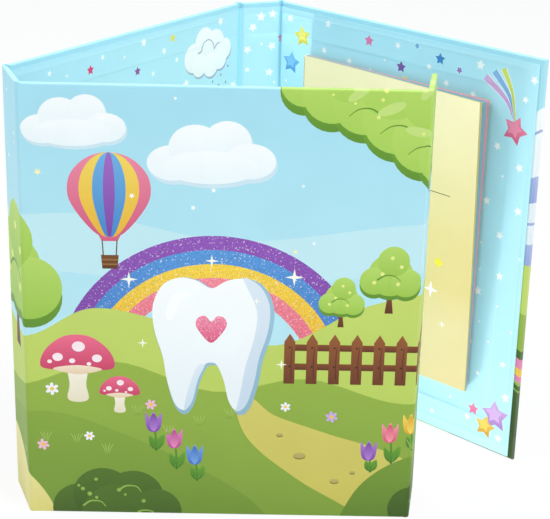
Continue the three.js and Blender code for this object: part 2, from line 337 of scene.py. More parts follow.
def leaf(length, width, angle, low, high):
    """A pointed leaf that leans from its foot, with a vein."""
    c, s = math.cos(angle), math.sin(angle)
    blade = [(0, 0), (0.3, 0.45), (0.65, 0.42), (1, 0), (0.65, -0.42), (0.3, -0.45)]
    points = [(x * length * c - y * width * s, x * length * s + y * width * c) for x, y in blade]
    line = [(t * length * c, t * length * s) for t in (0.1, 0.5, 0.88)]
    vein = ribbon(line, 0.12 * width, 0.05 * width, 3)
    return [paint(rounded(points, 5), low, high), paint(vein, high, low)]


def tulip(tall, dark, light, lean):
    stem = ribbon([(0, 0), (0.2 * lean, 0.5 * tall), (lean, tall)], 0.9, 0.8)
    leaves = leaf(0.62 * tall, 3.2, 1.15, "#3f7a1e", "#6ea632")
    leaves += leaf(0.55 * tall, 3.0, 1.98, "#3a701c", "#65a02e")
    cup = mirrored([(0, -3.9), (2.4, -2.6), (3.2, 1.4), (3.0, 4.6), (1.5, 2.2), (0, 5.0)])
    petal = mirrored([(0, -3.6), (1.5, -1.4), (1.3, 2.0), (0, 4.2)])
    bloom = [paint(rounded(cup, 3), dark, light), paint(rounded(petal, 4), light, dark)]
    return [paint(stem, "#3f7a1e", "#5f9a2a"), *stamped(leaves, (0, 0.5)), *stamped(bloom, (lean, tall))]


def daisy(petal, tilt):
    angles = [tilt + i * math.pi / 3 for i in range(6)]
    petals = [ring(0.62 * math.cos(a), 0.62 * math.sin(a), 0.42, 0.27, a, 16) for a in angles]
    return [*(paint(outline, petal) for outline in petals), *discs([(0, 0, 0.3)], "#f0c53a", count=16)]


def toadstool():
    stalk = mirrored([(0, -1.4), (4, 0), (3.2, 6), (3.4, 13)])
    cap = mirrored([(0, 11.4), (7, 12), (14, 13.5), (12.5, 20), (6.5, 25.5), (0, 27)])
    gills = mirrored([(0, 10.4), (9.5, 12.6), (0, 14.2)])
    spots = [(-7.5, 17.5, 2.0), (0.5, 22, 2.5), (7.5, 17.2, 1.9), (-2, 16, 1.2), (4.4, 14.8, 0.9)]
    spots.append((-10.6, 15.6, 0.9))
    return [
        paint(rounded(stalk), "#e7dcc2", "#f8f2e2"),
        paint(rounded(cap), "#c93a62", "#ef6b8c"),
        paint(rounded(gills, 5), "#e9c9a8", "#f5e4cb"),
        *discs([(x, y, r, 0.85 * r) for x, y, r in spots], "#fbe9ee", count=18),
    ]


def fence(length, tall):
    """Two rails, and pointed palings with a nail in each rail."""
    rails = [paint(box(0, low * tall, length, (low + 0.13) * tall), *BARK) for low in (0.28, 0.66)]
    board = mirrored([(2.1, 0), (2.1, 0.84 * tall), (0, tall)])
    grain = ribbon([(0.9, 0.1 * tall), (0.6, 0.45 * tall), (1.0, 0.75 * tall)], 0.45, 0.25, 4)
    nails = discs([(0, 0.345 * tall, 0.42), (0, 0.725 * tall, 0.42)], "#3b1a0a", count=10)
    paling = [paint(board, "#6a3414", "#95562a"), paint(grain, "#52260e"), *nails]
    gaps = int(length / PALING_GAP)
    return rails + stamped(paling, *((length * i / gaps, 0) for i in range(gaps + 1)))


def balloon(*gores):
    """A hot air balloon: gores one inside the other, ropes and a woven basket."""
    half = [(0, 17), (9, 14.5), (15.5, 7.5), (16.5, -1.5), (12, -10), (5.2, -17.5), (0, -18.6)]
    shapes = [paint(mirrored([(7, -13), (3.2, -20.5)]), *gores[0])]
    for share, inks in zip((1.0, 0.72, 0.4, 0.14), gores):
        gore = mirrored([(share * x, y) for x, y in half])
        shapes.append(paint(rounded(gore, 5), *inks))
    for side in (-1, 1):
        shapes.append(paint(ribbon([(3.0 * side, -20), (2.6 * side, -27)], 0.5, 0.5, 2), ROPE))
    shapes.append(paint(mirrored([(3.6, -26.5), (3.1, -32.5)]), "#5f3816", "#7a4a22"))
    return shapes + [paint(box(-3.3, y - 0.7, 3.3, y), "#9a6a38") for y in (-28.2, -30.2)]


def banded_balloon(wide, tall):
    """A white balloon with lilac bands round it."""
    shapes = discs([(0, 0, wide, tall)], "#e4e9f2", "#f7f9fc", 48)
    for low, high in ((-0.88, -0.63), (-0.41, -0.38), (-0.16, 0.13), (0.61, 0.64)):
        levels = [low + (high - low) * i / 6 for i in range(7)]
        band = mirrored([(wide * math.sqrt(1 - y * y), tall * y) for y in levels])
        shapes.append(paint(band, "#98a6da", "#a9b6e2"))
    for side in (-0.16, 0.16):
        rope = [(side * wide, -0.98 * tall), (0.6 * side * wide, -1.3 * tall)]
        shapes.append(paint(ribbon(rope, 0.5, 0.5, 2), ROPE))
    basket = mirrored([(3.6, -1.28 * tall), (3, -1.46 * tall)])
    return [*shapes, paint(basket, "#5f3816", "#8a5a2c")]


def small_tree():
    crown = [(0, 15, 8.5), (-6, 12.5, 5.5), (6, 12, 5.8), (1, 20.5, 6)]
    dots = [(-3, 16), (4, 19), (3, 12), (-6, 12.5), (0.5, 22.5)]
    arch = ribbon([(-5, 13.5), (-2, 15.4), (1.5, 15.2), (4, 13.2)], 0.7, 0.2)
    return [
        paint(mirrored([(1.6, 0), (1.0, 5), (1.2, 11)]), *BARK),
        *stamped(discs(crown, "#5f8f28", "#77a636"), (0, -1)),
        *stamped(discs(crown, "#9cc54a", "#b7d867"), (0, 0.6)),
        *discs([(x, y, 0.75) for x, y in dots], "#e9ec8e", count=14),
        paint(arch, "#5f8f28"),
    ]


def tooth():
    """A milk tooth with a soft shadow, shaded on its right side and inside its left root."""
    half = [(0, 25.0), (6, 28.2), (13, 29.4), (20, 26), (24, 17), (23.4, 6), (20, -6), (18.2, -17)]
    half += [(15, -27.5), (11, -30.5), (7.6, -26), (5.4, -16.5), (2.6, -9.6), (0, -8.4)]
    side = [*half[2:10], (12.5, -22), (14.4, -10), (18, 4), (18.6, 16)]
    root = [(-5.4, -16.5), (-7.6, -26), (-11, -30.5), (-9.4, -21), (-5.8, -10.5), (-2.6, -9.6)]
    gleam = [(-17, 20), (-12.5, 23.6), (-8, 22.4), (-12.4, 19), (-16, 11), (-18.6, 12)]
    whole = rounded(mirrored(half))
    return [
        paint(moved(whole, 0.9, -0.9, 1.035), "#8fb5c9", "#9cc4dc"),
        paint(whole, "#eaf1f7", "#fdfefe"),
        paint(rounded(side), "#c9d9ea", "#dfe9f4"),
        paint(rounded(root), "#cddcec", "#e0eaf4"),
        paint(rounded(gleam), WHITE),
    ]


def heart():
    """A heart in glitter ink."""
    half = [(0, 3.2), (2.2, 5.4), (4.8, 4.6), (5.6, 1.8), (3.6, -1.8), (0, -5.2)]
    return [paint(rounded(mirrored(half), 4), "#d9507a", "#f28aa8", True)]


def sparkle(waist, low, high=None):
    return [paint(spiked(0, 0, 1, 4, waist), low, high)]


def rainbow(reach, band):
    """Hoops of glitter ink, the widest first."""
    hoops = [half_hoop(reach - band * (i + 1), reach - band * i) for i in range(len(RAINBOW))]
    return [paint(hoop, *inks, True) for hoop, inks in zip(hoops, RAINBOW)]


def tuft():
    """Four blades of grass that taper to a point."""
    blades = [[(0.3 * lean, 0), (0.5 * lean, 2.6), (lean, 4.8)] for lean in (-2.6, -0.9, 1.0, 2.8)]
    return [paint(ribbon(blade, 0.7, 0.111, 4), "#7c9f38", "#b6d068") for blade in blades]


def bough(clumps, seed):
    """Pale clumps of leaves over darker ones, with gleams and dots, and strokes on the lower clumps."""
    rng = random.Random(seed)
    arch = [(-0.5, -0.42), (-0.2, -0.2), (0.18, -0.18), (0.5, -0.4)]
    shapes = stamped(discs(clumps, LEAF_SHADE, "#7db033"), (0, -3.2))
    shapes += discs(clumps, "#a8cf57", "#b9d967")
    for x, y, r in clumps:
        gleam = ring(x - 0.2 * r, y + 0.3 * r, 0.42 * r, 0.15 * r, rng.uniform(-0.4, 0.9), 24)
        shapes.append(paint(gleam, "#c3dd7c"))
        if y < BOUGH_RIM:
            shapes.append(paint(ribbon(moved(arch, x, y, r), 0.25, 0.7), LEAF_SHADE))
        for _ in range(2):
            dot = (x + rng.uniform(-0.6, 0.6) * r, y + rng.uniform(-0.2, 0.6) * r, rng.uniform(0.5, 0.95))
            shapes += discs([dot], "#e3ea86", count=14)
    return shapes


# Layers of the case print, with u along the strip and v up it
ART_LEFT, ART_RIGHT = -346, 184
ART_FOOT, ART_HEAD = -6, 182
SKY_LEFT, SKY_RIGHT = -336, 118
SKY_FOOT, SKY_HEAD = 112, 171
SKY_STARS = 46
GRASS_LEFT, GRASS_STEP, GRASS_TUFTS = -338, 11.9, 44
GRASS_LEVEL, GRASS_SWAY, GRASS_DIP = 40, 7, 12
GRASS_SIZE = 0.9
PATH_LEFT, PATH_RIGHT = 84, 140


def land(points, low, high):
    """Ground from a rolling line down past the lower edge."""
    line = smooth_line(points, 7)
    return paint([*line, (points[-1][0], ART_FOOT), (points[0][0], ART_FOOT)], low, high)


def sky_layer():
    glow = [(-30, 118), (20, 126), (80, 116), (150, 124), (184, 118), (150, 104), (60, 100), (-10, 106)]
    clouds = [(20, 158, 0.85), (70, 146, 1.05), (-60, 150, 1.2), (-128, 138, 0.9), (-160, 158, 0.7)]
    clouds += [(-226, 148, 1.1), (-282, 136, 0.8)]
    air = paint(box(ART_LEFT, ART_FOOT, ART_RIGHT, ART_HEAD), "#c6ecf3", "#a6deef")
    return [air, paint(rounded(glow), "#c3e9f2"), *stamped(cloud(), *clouds)]


def hill_layer():
    """Two rainbows, and the rolling land that they end behind."""
    far = [(ART_LEFT, 92), (-300, 97), (-262, 88), (-220, 96), (-186, 84), (-150, 90), (-110, 80), (-70, 92)]
    far += [(-34, 80), (0, 76), (26, 88), (58, 82), (96, 74), (128, 90), (156, 96), (ART_RIGHT, 92)]
    middle = [(ART_LEFT, 70), (-310, 62), (-270, 72), (-230, 64), (-190, 60), (-150, 70), (-110, 58)]
    middle += [(-66, 66), (-28, 52), (0, 56), (34, 66), (72, 54), (108, 60), (146, 50), (ART_RIGHT, 58)]
    art = stamped(rainbow(60.0, 5.6), (72, 58)) + stamped(rainbow(44.0, 4.6), (-100, 60))
    return [*art, land(far, "#a9c44c", "#c6d76a"), land(middle, "#7d9b36", "#98b544")]


def skyline_layer():
    """Small trees where the land meets the sky, and balloons over it."""
    trees = [(-11, 68, 2.2), (138, 88, 1.0), (120, 82, 0.75), (-60, 80, 0.9), (-140, 84, 1.0)]
    art = stamped(small_tree(), *trees, (-200, 88, 0.8), (-262, 84, 1.1))
    art += stamped(balloon(SILK_PINK, SILK_AMBER, SILK_BLUE, SILK_VIOLET), (33, 134, 0.92))
    art += stamped(banded_balloon(24, 38), (-325, 122))
    return art + stamped(balloon(SILK_BLUE, SILK_WHITE, SILK_AMBER, SILK_PINK), (-52, 112, 0.7))


def path_layer():
    """A path that winds up the land, with stones on it."""
    path = [(150, ART_FOOT), (140, 12), (112, 26), (92, 38), (84, 50)]
    art = [paint(ribbon(path, 40, 7, 9), "#c9bd58", "#d3c866")]
    for u, v, r in ((134, 8, 3.2), (120, 16, 1.8), (106, 27, 2.4), (98, 36, 1.3), (127, 20, 1.1)):
        art += discs([(u, v - 0.5, r, 0.55 * r)], "#93803c", count=20)
        art += discs([(u, v, r, 0.5 * r)], "#b5a35a", "#bfae68", 20)
    return art


def meadow_layer():
    """Fences, toadstools, and the tooth with its heart and sparkles."""
    sparkles = [(40, 100, 3.2), (102, 102, 3.6), (98, 66, 2.2), (45, 74, 2.0), (71, 108, 2.6), (88, 92, 1.6)]
    art = stamped(fence(77, 21), (101, 58)) + stamped(fence(86, 19), (-292, 58))
    art += stamped(toadstool(), (20, 50, 1.0), (36, 45, 0.55), (-148, 46, 0.9))
    art += stamped(tooth(), (71, 74, 0.92)) + stamped(heart(), (71, 80, 1.05))
    return art + stamped(sparkle(0.24, WHITE, "#fff8d8"), *sparkles)


def near_layer():
    """Near land, sand below the spine, and bushes along the lower edge."""
    near = [(ART_LEFT, 46), (-300, 36), (-256, 44), (-210, 34), (-170, 42), (-120, 30), (-76, 40), (-40, 34)]
    near += [(-14, 42), (12, 44), (40, 34), (64, 22), (86, 8), (98, ART_FOOT)]
    right = [(120, ART_FOOT), (130, 14), (146, 26), (166, 30), (ART_RIGHT, 34)]
    sand = [(-52, ART_FOOT), (-42, 14), (-27, 28), (-12, 26), (0, 17), (8, 6), (12, ART_FOOT)]
    art = [land(near, "#6f8f2e", "#86a53a"), land(right, "#5d8026", "#7b9c33")]
    art.append(land(sand, "#d8cd72", "#ece3a0"))
    art += stamped(bush("#3a5514", "#4f7120", 3), (34, 2, 1.0))
    art += stamped(bush("#34500f", "#4a6b1c", 5), (164, 4, 0.9))
    art += stamped(bush("#2f4b18", "#3c5a1c", 7), (-329, 12, 1.2))
    art += stamped(bush("#2f4b18", "#47661f", 8), (-332, 31, 1.1))
    art += stamped(bush("#3a5514", "#4f7120", 9), (-200, 2, 1.0))
    return art + stamped(bush("#3a5514", "#4f7120", 11), (-60, 0, 0.9))


def flower_layer():
    """Tulips in beds, and daisies by the colour of their petals."""
    beds = [(58, 20, 13, PLUM), (66, 15, 11, BLUE), (50, 28, 12, VIOLET), (142, 24, 13, ROSE)]
    beds += [(150, 30, 11, GOLD), (134, 20, 9, VIOLET), (-84, 26, 14, ROSE), (-94, 22, 12, VIOLET)]
    beds += [(-104, 24, 13, GOLD), (-158, 24, 12, BLUE), (-240, 26, 13, ROSE), (-252, 24, 12, BLUE)]
    beds.append((-282, 22, 13, PLUM))
    daisies = {
        "#f4f0fa": [(10, 54, 2.6), (24, 34, 2.0), (100, 48, 2.0), (-316, 42, 2.6), (-130, 44, 2.6)],
        "#f2b8d2": [(48, 48, 2.2), (6, 30, 2.4), (-220, 44, 2.4), (160, 42, 2.4)],
        "#c9a8e2": [(118, 44, 2.4), (-72, 50, 2.2)],
        "#e884b4": [(-336.5, 41, 6.0)],
    }
    art = []
    for u, v, tall, inks in beds:
        art += stamped(tulip(tall, *inks, 1.2 if u % 2 else -1.0), (u, v))
    for petal, places in daisies.items():
        for u, v, reach in places:
            art += stamped(daisy(petal, u), (u, v, reach))
    return art


def grass_layer():
    """Tufts of grass in waves along the near land, but for the path."""
    places = []
    for i in range(GRASS_TUFTS):
        u = GRASS_LEFT + i * GRASS_STEP
        dip = GRASS_DIP * (0.5 + 0.5 * math.sin(i * 0.7))
        v = GRASS_LEVEL + GRASS_SWAY * math.sin(i * 2.4) - dip
        if not PATH_LEFT < u < PATH_RIGHT:
            places.append((u, v, GRASS_SIZE))
    return stamped(tuft(), *places)


def top_layer():
    """The bough over the front cover, and small stars in the sky."""
    clumps = [(-30, 9, 9), (-20, 5, 11), (-8, 2, 12), (4, -4, 13), (14, -12, 12), (24, -18, 12)]
    clumps += [(36, -14, 13), (-14, 12, 10), (2, 9, 13), (18, 4, 13), (34, 4, 14), (44, -6, 12)]
    art = stamped(bough(clumps, 21), (134, 168))
    rng = random.Random(8)
    for _ in range(SKY_STARS):
        u, v = rng.uniform(SKY_LEFT, SKY_RIGHT), rng.uniform(SKY_FOOT, SKY_HEAD)
        outline = spiked(u, v, rng.choice((0.8, 1.1, 1.5)), tilt=rng.uniform(0, 1))
        art.append(paint(outline, rng.choice((WHITE, WHITE, "#fdf3b8"))))
    return art


# Everything printed on the outside of the case, from the far sky to the nearest leaves
CASE_PRINT = sky_layer() + hill_layer() + skyline_layer() + path_layer() + meadow_layer()
CASE_PRINT += near_layer() + flower_layer() + grass_layer() + top_layer()


# Prints of the liners, in each panel's own x and height
LINER_LOW = "#beecf8"
LINER_HIGH = "#baeaf8"
STAR_GLOW = "#dbf4f9"
STAR_INKS = [WHITE] * 24 + ["#ee8fb4", "#9b7fc4", "#6fb0dc", "#f2e98a"]
STAR_SIZES = (0.55, 0.75, 1.2, 1.5, 1.8, 2.1)
STAR_TRIES = 900
STAR_SIDE = 1.0
STAR_END = 3.0
STAR_CLEAR = 2.0
STAR_GAP = 9.2
STAR_RIM = 1.22
STAR_FACE = 0.92
STAR_TURN = 1.2
FORE_EDGE_GAP = 12.0
LEMON = ("#e0cf3a", "#f4ea74")
AQUA = ("#4a96d8", "#86c6f0")
LILAC = ("#b98ad0", "#dcb4e4")
PINK = ("#e76a9a", "#f090b4")
CLOUD_INKS = (WHITE, "#bcd3de")
TRAILS = [
    (-17.0, 20.0, 3.3, "#c99ad2", "#dcb2e0"),
    (-12.6, 23.2, 3.2, "#6fa4dc", "#8fbcea"),
    (-8.0, 25.2, 2.6, "#c8cf4c", "#e0e46a"),
]


def star(u, v, reach, low, high=None, tilt=0.0):
    return paint(spiked(u, v, reach, 5, 0.54, tilt), low, high)


def toned_star(u, v, reach, low, high, tilt):
    """A large star with a paler middle."""
    middle = star(u - 0.06 * reach, v + 0.1 * reach, 0.62 * reach, high, tilt=tilt)
    return [star(u, v, reach, low, high, tilt), middle]


def shooting_star(u, v, size):
    """A star with three trails that widen as they curve away from it."""
    shapes = []
    for x, y, width, low, high in TRAILS:
        path = [(u, v + 2), (u + 0.32 * x * size, v + 0.6 * y * size), (u + x * size, v + y * size)]
        shapes.append(paint(ribbon(path, 0.5 * size, (width + 0.7) * size), WHITE))
        shapes.append(paint(ribbon(path, 0.3 * size, width * size), low, high))
    return shapes + toned_star(u, v, 6.6 * size, "#dd5580", "#f48fae", -0.36)


def rain_cloud():
    """A plump cloud with a curl, a shaded underside and a few drops."""
    puffs = [(-10, -1, 6.4), (-2.5, 4.6, 6.6), (5, 2.8, 6.4), (11.8, -0.6, 4.8), (-6, -5, 5.0), (2, -6, 5.4)]
    puffs.append((8.6, -4.6, 4.6))
    curl = [(-7, 0.5), (-4.6, 1.2), (-3.4, 4.2), (0.4, 5.4), (3.6, 3.2), (4.4, 0.6)]
    tail = [(4.4, 0.6), (6.6, 2.6), (8.6, 2.4)]
    drops = [(-9, -14), (-2.5, -16.5), (3.5, -14), (9.5, -12), (13, -16), (6, -20), (-6, -20), (14.5, -9)]
    return [
        *stamped(discs(puffs, "#9fb4cc"), (0.3, -0.9)),
        *discs(puffs, "#f2f5f8", WHITE),
        *(paint(ribbon(line, 0.75, 0.4), "#a9b7cc") for line in (curl, tail)),
        *discs([(x, y, 0.5, 0.7) for x, y in drops], "#8fa2c0", count=10),
    ]


def back_print():
    art = stamped(rain_cloud(), (49.5, 157.5)) + stamped(cloud(*CLOUD_INKS), (-44, 128, 0.8))
    art += [star(-27, 164.4, 2.1, "#e5407c"), star(2, 158.2, 2.0, "#93559e")]
    return [*art, star(25, 168, 2.1, "#ece66a")]


def pad_print():
    art = toned_star(15, 161.5, 5.0, "#d9c838", "#f4ea74", 0.15) + toned_star(8.6, 148.5, 5.2, *AQUA, -0.1)
    art += [star(53.5, 166.5, 2.6, "#ea7fb0"), star(71.6, 158.5, 2.6, "#7d5aa8")]
    art.append(star(92, 165.8, 2.6, "#3f86c8"))
    art += shooting_star(131.5, 144, 0.95)
    art += toned_star(133, 17.2, 7.2, "#a877c4", "#d8b0e4", 0.1)
    art += toned_star(128.2, 10.6, 5.4, "#d9952a", "#f4cf5c", -0.15)
    return [*art, star(121.4, 16.6, 2.9, *PINK)]


def front_print():
    art = stamped(cloud(*CLOUD_INKS), (-60, 140, 1.1), (-112, 96, 0.9)) + shooting_star(-30, 100, 1.0)
    return art + [star(-100, 40, 5.4, *LEMON), star(-52, 52, 4.6, *AQUA), star(-128, 150, 4.2, *LILAC)]


def fore_print():
    art = [star(11, 120, 3.6, *LILAC), star(12, 60, 3.8, *LEMON)]
    for x, z in ((6.8, 164), (4.4, 154), (16, 155), (16, 169.6), (15, 143)):
        art += [star(x, z, 2.3, STAR_GLOW, tilt=z), star(x, z, 1.8, WHITE, tilt=z)]
    return art


LINER_PRINT = {
    "flap": [star(-14, 140, 3.8, *AQUA), star(-12, 70, 3.6, *PINK)],
    "front_cover": front_print(),
    "spine": [star(-12, 128, 3.6, *LEMON), star(-13, 48, 3.8, "#ea7fb0", "#f4a8c8")],
    "back_cover": back_print(),
    "fore_edge": fore_print(),
    "pad_panel": pad_print(),
}
GROOVE_PRINT = {"pad_panel_hinge": [star(FORE_EDGE_WIDTH - 0.6, 158.5, 2.4, "#ef7fae")]}


def extent(outline):
    us, vs = zip(*outline)
    return min(us), min(vs), max(us), max(vs)


def scatter(window, seed, gap, prints):
    """Small stars strewn over a window, apart from each other and from what is already printed."""
    rng = random.Random(seed)
    taken = [extent(p.outline) for p in prints]
    clear = STAR_CLEAR
    spots, shapes = [], []
    for _ in range(STAR_TRIES):
        u = rng.uniform(window[0] + STAR_SIDE, window[2] - STAR_SIDE)
        v = rng.uniform(window[1] + STAR_END, window[3] - STAR_END)
        near = any(math.hypot(u - a, v - b) < gap for a, b in spots)
        under = any(a - clear < u < c + clear and b - clear < v < d + clear for a, b, c, d in taken)
        if near or under:
            continue
        spots.append((u, v))
        reach = rng.choice(STAR_SIZES)
        colour = rng.choice(STAR_INKS) if reach in STAR_SIZES[2:] else WHITE
        if reach == STAR_SIZES[0]:
            shapes += discs([(u, v, reach)], colour, count=12)
        else:
            tilt = rng.uniform(0, STAR_TURN)
            shapes.append(star(u, v, STAR_RIM * reach, STAR_GLOW, tilt=tilt))
            shapes.append(star(u, v, STAR_FACE * reach, colour, tilt=tilt))
    return prints + shapes


def liner_base(window):
    u0, v0, u1, v1 = window
    return paint(box(u0 - BLEED, v0 - BLEED, u1 + BLEED, v1 + BLEED), LINER_LOW, LINER_HIGH)


# Printed sheets


def counter_clockwise(outline):
    area = sum(a[0] * b[1] - b[0] * a[1] for a, b in zip(outline, outline[1:] + outline[:1]))
    return outline if area > 0 else outline[::-1]


def cut_up(window, outlines, lines):
    """Cuts a window along outlines and lines into triangles, each with the number of its last outline."""
    points, edges, faces = [], [], []
    for outline in [box(*window), *outlines]:
        faces.append(list(range(len(points), len(points) + len(outline))))
        points.extend(Vector(p) for p in counter_clockwise(outline))
    for start, end in lines:
        edges.append((len(points), len(points) + 1))
        points.extend((Vector(start), Vector(end)))
    spots, _, triangles, _, _, owners = delaunay_2d_cdt(points, edges, faces, 1, CUT_SNAP)
    inside = [(t, max(o) - 1) for t, o in zip(triangles, owners) if 0 in o and max(o) > 0]
    return spots, inside


def printed_sheet(name, window, prints, place, rows=(), columns=(), creases=()):
    """A sheet cut along its printed outlines, so that each face has the ink that was printed last there."""
    u0, v0, u1, v1 = window
    kept = []
    for shape in prints:
        a, low, c, high = extent(shape.outline)
        if a < u1 and c > u0 and low < v1 and high > v0:
            kept.append((shape, low, high))
    lines = [((u0, v), (u1, v)) for v in rows] + [((u, v0), (u, v1)) for u in columns] + list(creases)
    spots, inside = cut_up(window, [shape.outline for shape, _, _ in kept], lines)
    used = sorted({i for corners, _ in inside for i in corners})
    number = {old: new for new, old in enumerate(used)}
    mesh = bpy.data.meshes.new(name)
    faces = [[number[i] for i in corners] for corners, _ in inside]
    mesh.from_pydata([place(*spots[i]) for i in used], [], faces)
    colours = []
    for corners, top in inside:
        shape, low, high = kept[top]
        for i in corners:
            share = clamp((spots[i][1] - low) / (high - low))
            colours.extend((*blend_ink(shape.low, shape.high, share), 1.0))
    mesh.color_attributes.new("ink", "FLOAT_COLOR", "CORNER").data.foreach_set("color", colours)
    mesh.polygons.foreach_set("material_index", [int(kept[top][0].glitter) for _, top in inside])
    sheet = bpy.data.objects.new(name, mesh)
    bpy.context.scene.collection.objects.link(sheet)
    return sheet


def retone(sheet, corner, tone, share):
    """Blends the ink at one corner of a face towards another tone."""
    shade = sheet.data.color_attributes["ink"].data[corner]
    shade.color = (*blend_ink(shade.color[:3], tone, share), 1.0)


# Steps that many pieces share


def take(piece):
    """Only this piece is selected, and it is the one that operators act on."""
    bpy.ops.object.select_all(action="DESELECT")
    piece.select_set(True)
    bpy.context.view_layer.objects.active = piece


def apply_modifier(piece, kind, **settings):
    take(piece)
    modifier = piece.modifiers.new(kind.title(), kind)
    for key, value in settings.items():
        setattr(modifier, key, value)
    bpy.ops.object.modifier_apply(modifier=modifier.name)


def thicken(piece, thickness):
    apply_modifier(piece, "SOLIDIFY", thickness=thickness, offset=-1.0, use_even_offset=True, use_rim=True)


def round_shading(piece, degrees=SHARP):
    take(piece)
    bpy.ops.object.shade_smooth_by_angle(angle=math.radians(degrees))


def set_in_place(piece, place):
    """Leaves the piece at the origin, with its place and its size in metres in its mesh."""
    piece.data.transform(Matrix.Scale(MM, 4) @ place)
    piece.data.update()


def completed(sheet, thickness, place, degrees=SHARP):
    """A sheet with its thickness, its shading and its place."""
    thicken(sheet, thickness)
    round_shading(sheet, degrees)
    set_in_place(sheet, place)
    return sheet


def between(start, end, parts):
    """The places that divide a stretch into equal parts."""
    return [start + (end - start) * i / parts for i in range(1, parts)]


def span(panel, inset):
    """A panel's two upright ends, drawn in where the end is free."""
    left = panel.x0 + (inset if panel.free == "start" else 0.0)
    right = panel.x1 - (inset if panel.free == "end" else 0.0)
    return left, right


# Cover papers


def edge_profile():
    """How the paper goes over an edge: round it, down the side, round again and in under the liner."""
    steps = [math.pi / 2 * i / EDGE_STEPS for i in range(1, EDGE_STEPS + 1)]
    foot = WRAPPED - EDGE_ROUND
    profile = [(EDGE_ROUND * math.sin(a), EDGE_ROUND * (1 - math.cos(a))) for a in steps]
    profile.append((EDGE_ROUND, foot))
    profile += [(EDGE_ROUND * math.cos(a), foot + EDGE_ROUND * math.sin(a)) for a in steps]
    return [*profile, (EDGE_ROUND - TURN_IN, WRAPPED)]


def turn_over(sheet, fixed_x, free):
    """Extrudes the sheet's upper, lower and free edges over the board, mitred where two of them meet."""
    take(sheet)
    bpy.context.tool_settings.mesh_select_mode = (False, True, False)
    bpy.ops.object.mode_set(mode="EDIT")
    mesh = bmesh.from_edit_mesh(sheet.data)
    left, right = (pick(v.co.x for v in mesh.verts) for pick in (min, max))
    low, high = (pick(v.co.z for v in mesh.verts) for pick in (min, max))
    end = {"start": left, "end": right}.get(free)
    for edge in mesh.edges:
        a, b = (v.co for v in edge.verts)
        level = any(max(abs(a.z - z), abs(b.z - z)) < SAME_PLACE for z in (low, high))
        upright = end is not None and max(abs(a.x - end), abs(b.x - end)) < SAME_PLACE
        edge.select_set(edge.is_boundary and (level or upright))
    bmesh.update_edit_mesh(sheet.data)
    out, depth = 0.0, 0.0
    width, height = right - left, high - low
    for next_out, next_depth in edge_profile():
        bpy.ops.mesh.extrude_edges_move(TRANSFORM_OT_translate={"value": (0, depth - next_depth, 0)})
        tall = (height + 2 * next_out) / (height + 2 * out)
        wide = (width + next_out) / (width + out) if free else 1.0
        bpy.ops.transform.resize(value=(wide, 1, tall), center_override=(fixed_x, 0, (low + high) / 2))
        out, depth = next_out, next_depth
    bpy.ops.object.mode_set(mode="OBJECT")


def paint_edge_highlight(sheet):
    """Painted highlight: the ink is a little paler where the paper turns over an edge."""
    for face in sheet.data.polygons:
        if abs(face.normal.y) < FLAT_FACE:
            for corner in face.loop_indices:
                retone(sheet, corner, ink(WHITE), EDGE_HIGHLIGHT)


def cover_paper(name, strip, left, right, fixed, free="", columns=()):
    """A stretch of the printed case, turned in over the boards' edges."""
    window = (strip - right, EDGE_ROUND, strip - left, COVER_HEIGHT - EDGE_ROUND)
    along = [strip - x for x in columns]
    sheet = printed_sheet(name, window, CASE_PRINT, lambda u, v: (strip - u, 0.0, v), columns=along)
    turn_over(sheet, fixed, free)
    # Painted highlight along the turned-over edges
    paint_edge_highlight(sheet)
    return sheet


def build_wrap(name):
    """The printed paper of one panel."""
    panel = PANELS[name]
    left, right = span(panel, EDGE_ROUND)
    fixed = right if panel.free == "start" else left
    sheet = cover_paper(name + "_wrap", panel.strip, left, right, fixed, panel.free)
    return completed(sheet, PAPER, panel.place)


# Hinges


def bend(sheet, hinge):
    """Wraps a flat strip round the fold: x runs along the outer face and -y is the depth under it."""
    turn = math.radians(hinge.fold)
    radius = HINGE_BEND / math.tan(turn / 2)
    for vertex in sheet.data.vertices:
        along, depth = vertex.co.x - hinge.fold_x, -vertex.co.y
        part = clamp((along + HINGE_BEND) / (2 * HINGE_BEND))
        angle = turn * part
        normal = Vector((math.sin(angle), math.cos(angle)))
        ahead = Vector((math.cos(angle), -math.sin(angle)))
        spot = Vector((hinge.fold_x - HINGE_BEND, -radius)) + normal * (radius - depth)
        spot += ahead * (along - (2 * part - 1) * HINGE_BEND)
        vertex.co.x, vertex.co.y = spot
    sheet.data.update()


def blend_over(piece, hinge, depth):
    """Bakes the piece's place into its mesh; the ends across the fold that are worked out here go unused."""
    half = math.radians(hinge.fold) / 2
    reach = SETBACK * math.cos(half) - depth * math.sin(half)
    across = Vector((math.cos(half), -math.sin(half), 0))
    centre = Vector((hinge.fold_x, 0, COVER_HEIGHT / 2))
    place = Matrix.Scale(MM, 4) @ PANELS[hinge.panel].place
    start, end = place @ (centre - across * reach), place @ (centre + across * reach)
    tuple(start)
    tuple(end)
    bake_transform(piece)


def pinch(sheet, fold_x):
    """Thins the hinge towards its fold, where there is no board in it, and lets its head rise a little."""
    for vertex in sheet.data.vertices:
        far = min(abs(vertex.co.x - fold_x) / SETBACK, 1.0)
        share = clamp((far - HINGE_FLAT) / HINGE_SLOPE)
        full = share * share * (3 - 2 * share)
        vertex.co.y *= HINGE_THIN + (1.0 - HINGE_THIN) * full
        if vertex.co.z > COVER_HEIGHT / 2:
            vertex.co.z += HINGE_HEAD * (1.0 - full)
    sheet.data.update()


def paint_fold_shade(sheet, hinge):
    """Painted shade along a fold: the ink is made deeper there, most for a gentle fold, where the liner dips
    into the hinge.
    """
    tone = ink(CREASE_SHADE_INK)
    most = CREASE_SHADE_SHARE * math.cos(math.radians(hinge.fold))
    for loop in sheet.data.loops:
        away = abs(sheet.data.vertices[loop.vertex_index].co.x - hinge.fold_x)
        far = min(away / CREASE_SHADE_REACH, 1.0)
        retone(sheet, loop.index, tone, most * (0.5 + 0.5 * math.cos(math.pi * far)))


